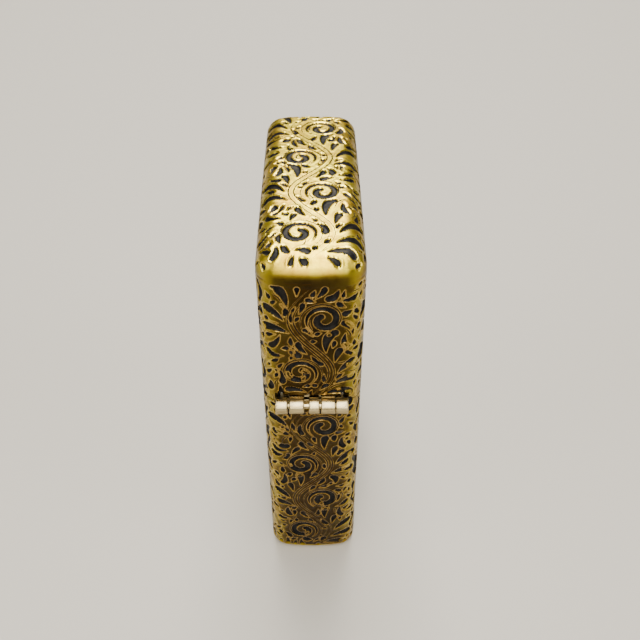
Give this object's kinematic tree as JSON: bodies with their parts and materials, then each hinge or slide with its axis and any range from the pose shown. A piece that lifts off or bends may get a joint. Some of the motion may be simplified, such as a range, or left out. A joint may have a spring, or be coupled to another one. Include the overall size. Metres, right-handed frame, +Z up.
{
  "type": "flip-top pocket lighter",
  "caption": "Slim hinged pocket case of engraved brass whose lid flips back from a wick, chimney and striker wheel on a packed inner unit.",
  "frame": {"origin": "middle of the flat underside of the case", "axes": "+Z up through the standing closed case, X along its width with the hinge at -X, Y through its thickness"},
  "size_m": [0.0397, 0.013, 0.0572],
  "materials": {
    "engraved_brass": "antiqued brass, carved in relief, with black patina in the hollows and worn bright edges",
    "plain_brass": "drawn and turned brass, unplated",
    "nickel": "nickel-plated, bright but handled",
    "stainless": "stamped stainless steel, fine lengthwise grain",
    "tool_steel": "hardened steel, oil-blackened",
    "flint_alloy": "cast spark alloy, dull dark grey",
    "cotton": "unbleached cotton, loose fibre and braid",
    "felt": "pressed wool felt"
  },
  "bodies": {
    "case": {"case_bottom": "engraved_brass", "hinge_leaf_bottom": "nickel", "hinge_pin": "nickel", "unit_shell": "stainless", "chimney": "stainless", "wheel_rivet": "plain_brass", "cam_rivet": "stainless", "cam_spring": "tool_steel", "cam_spring_rivet": "plain_brass", "flint_tube": "plain_brass", "flint_spring": "tool_steel", "flint_screw": "plain_brass", "wick": "cotton", "packing_wad_1": "cotton", "packing_wad_2": "cotton", "packing_wad_3": "cotton", "packing_wad_4": "cotton", "packing_wad_5": "cotton", "packing_wad_6": "cotton", "felt_pad": "felt"},
    "lid": {"case_lid": "engraved_brass", "hinge_leaf_lid": "nickel"},
    "cam": {"cam": "stainless"},
    "striker_wheel": {"striker_wheel": "tool_steel"},
    "flint": {"flint": "flint_alloy", "flint_plunger": "plain_brass"}
  },
  "joints": [
    {"name": "lid_hinge", "type": "hinge", "parent": "case", "child": "lid", "pos_m": [-0.0195, 0, 0.0344], "axis": [0, -1, 0], "range_deg": [0, 130]},
    {"name": "cam_pivot", "type": "hinge", "parent": "case", "child": "cam", "pos_m": [-0.0112, 0, 0.0396], "axis": [0, -1, 0], "range_deg": [-36, 0]},
    {"name": "wheel_spin", "type": "hinge", "parent": "case", "child": "striker_wheel", "pos_m": [0.0099, 0, 0.0447], "axis": [0, -1, 0], "continuous": true},
    {"name": "flint_slide", "type": "slide", "parent": "case", "child": "flint", "axis": [0, 0, 1], "range_m": [-0.005, 0], "stiffness_N_per_m": 60, "springref_m": 0.0002, "deforming": ["flint_spring"]}
  ],
  "couplings": [
    {"joint": "cam_pivot", "follows": "lid_hinge", "ratio": -0.2769}
  ]
}
